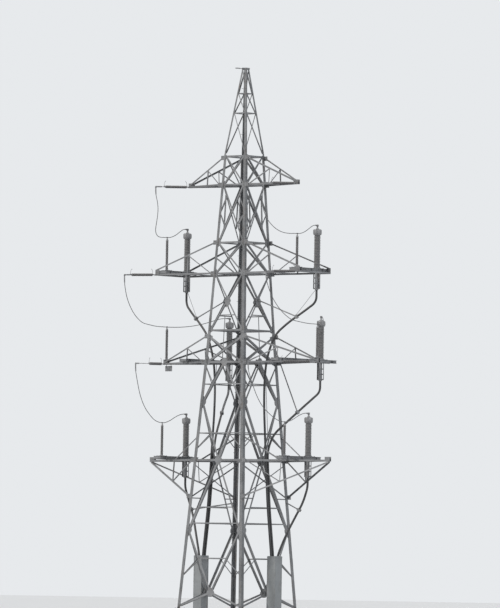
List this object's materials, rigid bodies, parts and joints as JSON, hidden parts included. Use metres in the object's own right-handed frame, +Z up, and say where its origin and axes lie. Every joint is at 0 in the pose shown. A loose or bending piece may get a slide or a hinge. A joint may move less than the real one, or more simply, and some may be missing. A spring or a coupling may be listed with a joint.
{
  "type": "lattice transmission pylon",
  "caption": "Square lattice steel tower with four pairs of cross-arms, where an overhead line ends and goes down into cables.",
  "frame": {"origin": "ground level at the centre of the four footings", "axes": "+Z up, +X along the right-hand arms, -Y towards the line that the tower ends"},
  "size_m": [11.9, 7.3199, 27.4903],
  "materials": {
    "bare_conductor": "weathered stranded aluminium",
    "cable_sheath": "black cable sheath",
    "concrete": "rough cast concrete",
    "galvanised_steel": "weathered galvanised steel",
    "guard_paint": "grey painted sheet steel",
    "insulator_grey": "grey silicone rubber sheds"
  },
  "bodies": {
    "root": {"arm_1_left": "galvanised_steel", "arm_1_right": "galvanised_steel", "arm_2_left": "galvanised_steel", "arm_2_right": "galvanised_steel", "arm_3_left": "galvanised_steel", "arm_3_right": "galvanised_steel", "arm_4_left": "galvanised_steel", "arm_4_right": "galvanised_steel", "arrester_2_left": "insulator_grey", "arrester_2_right": "insulator_grey", "arrester_3_left": "insulator_grey", "arrester_3_right": "insulator_grey", "arrester_4_left": "insulator_grey", "arrester_4_right": "insulator_grey", "cable_guard_left": "guard_paint", "cable_guard_right": "guard_paint", "cable_supports_left": "galvanised_steel", "cable_supports_right": "galvanised_steel", "earth_wire_clamp": "galvanised_steel", "footings": "concrete", "jumper_1_left": "bare_conductor", "jumper_1_right": "bare_conductor", "jumper_2_left": "bare_conductor", "jumper_2_right": "bare_conductor", "jumper_3_left": "bare_conductor", "jumper_3_right": "bare_conductor", "leg_back_left": "galvanised_steel", "leg_back_right": "galvanised_steel", "leg_front_left": "galvanised_steel", "leg_front_right": "galvanised_steel", "lower_face_back": "galvanised_steel", "lower_face_front": "galvanised_steel", "lower_face_left": "galvanised_steel", "lower_face_right": "galvanised_steel", "peak_cap": "galvanised_steel", "peak_lattice": "galvanised_steel", "platform_2_left": "galvanised_steel", "platform_2_right": "galvanised_steel", "platform_3_left": "galvanised_steel", "platform_3_right": "galvanised_steel", "platform_4_left": "galvanised_steel", "platform_4_right": "galvanised_steel", "power_cables_left": "cable_sheath", "power_cables_right": "cable_sheath", "sealing_end_2_left": "insulator_grey", "sealing_end_2_right": "insulator_grey", "sealing_end_3_left": "insulator_grey", "sealing_end_3_right": "insulator_grey", "sealing_end_4_left": "insulator_grey", "sealing_end_4_right": "insulator_grey", "string_1_left": "insulator_grey", "string_1_right": "insulator_grey", "string_2_left": "insulator_grey", "string_2_right": "insulator_grey", "string_3_left": "insulator_grey", "string_3_right": "insulator_grey", "upper_face_back": "galvanised_steel", "upper_face_front": "galvanised_steel", "upper_face_left": "galvanised_steel", "upper_face_right": "galvanised_steel"}
  },
  "joints": []
}
